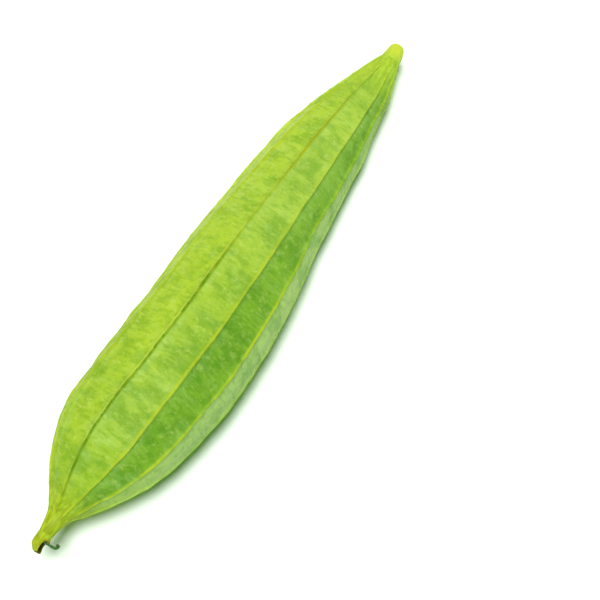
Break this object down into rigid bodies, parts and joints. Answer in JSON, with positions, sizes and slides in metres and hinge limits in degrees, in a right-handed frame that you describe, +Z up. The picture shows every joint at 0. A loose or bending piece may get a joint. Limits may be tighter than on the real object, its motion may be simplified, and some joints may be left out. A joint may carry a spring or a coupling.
{
  "type": "ridge gourd",
  "caption": "Fresh ridge gourd, a long club-shaped green fruit with raised lengthwise ridges, a cut stem stub, a withered calyx and a curled dried style, lying on its side.",
  "frame": {"origin": "under the middle of the gourd's box, on the surface that it lies on", "axes": "+X along the gourd from the flower end to the cut stem, +Z up, -Y to the side that the belly bows towards"},
  "size_m": [0.3062, 0.0614, 0.059],
  "materials": {
    "gourd_skin": "satin-matte fresh green rind, mottled, with yellow-green ridges",
    "stem_skin": "fresh yellow-green stem skin with a paler cut end",
    "dried_calyx": "papery olive outside, dark brown inside, matte",
    "dried_style": "dark green-brown dried thread, matte"
  },
  "bodies": {
    "root": {"gourd_fruit": "gourd_skin", "cut_stem": "stem_skin", "withered_calyx": "dried_calyx", "dried_style": "dried_style"}
  },
  "joints": []
}
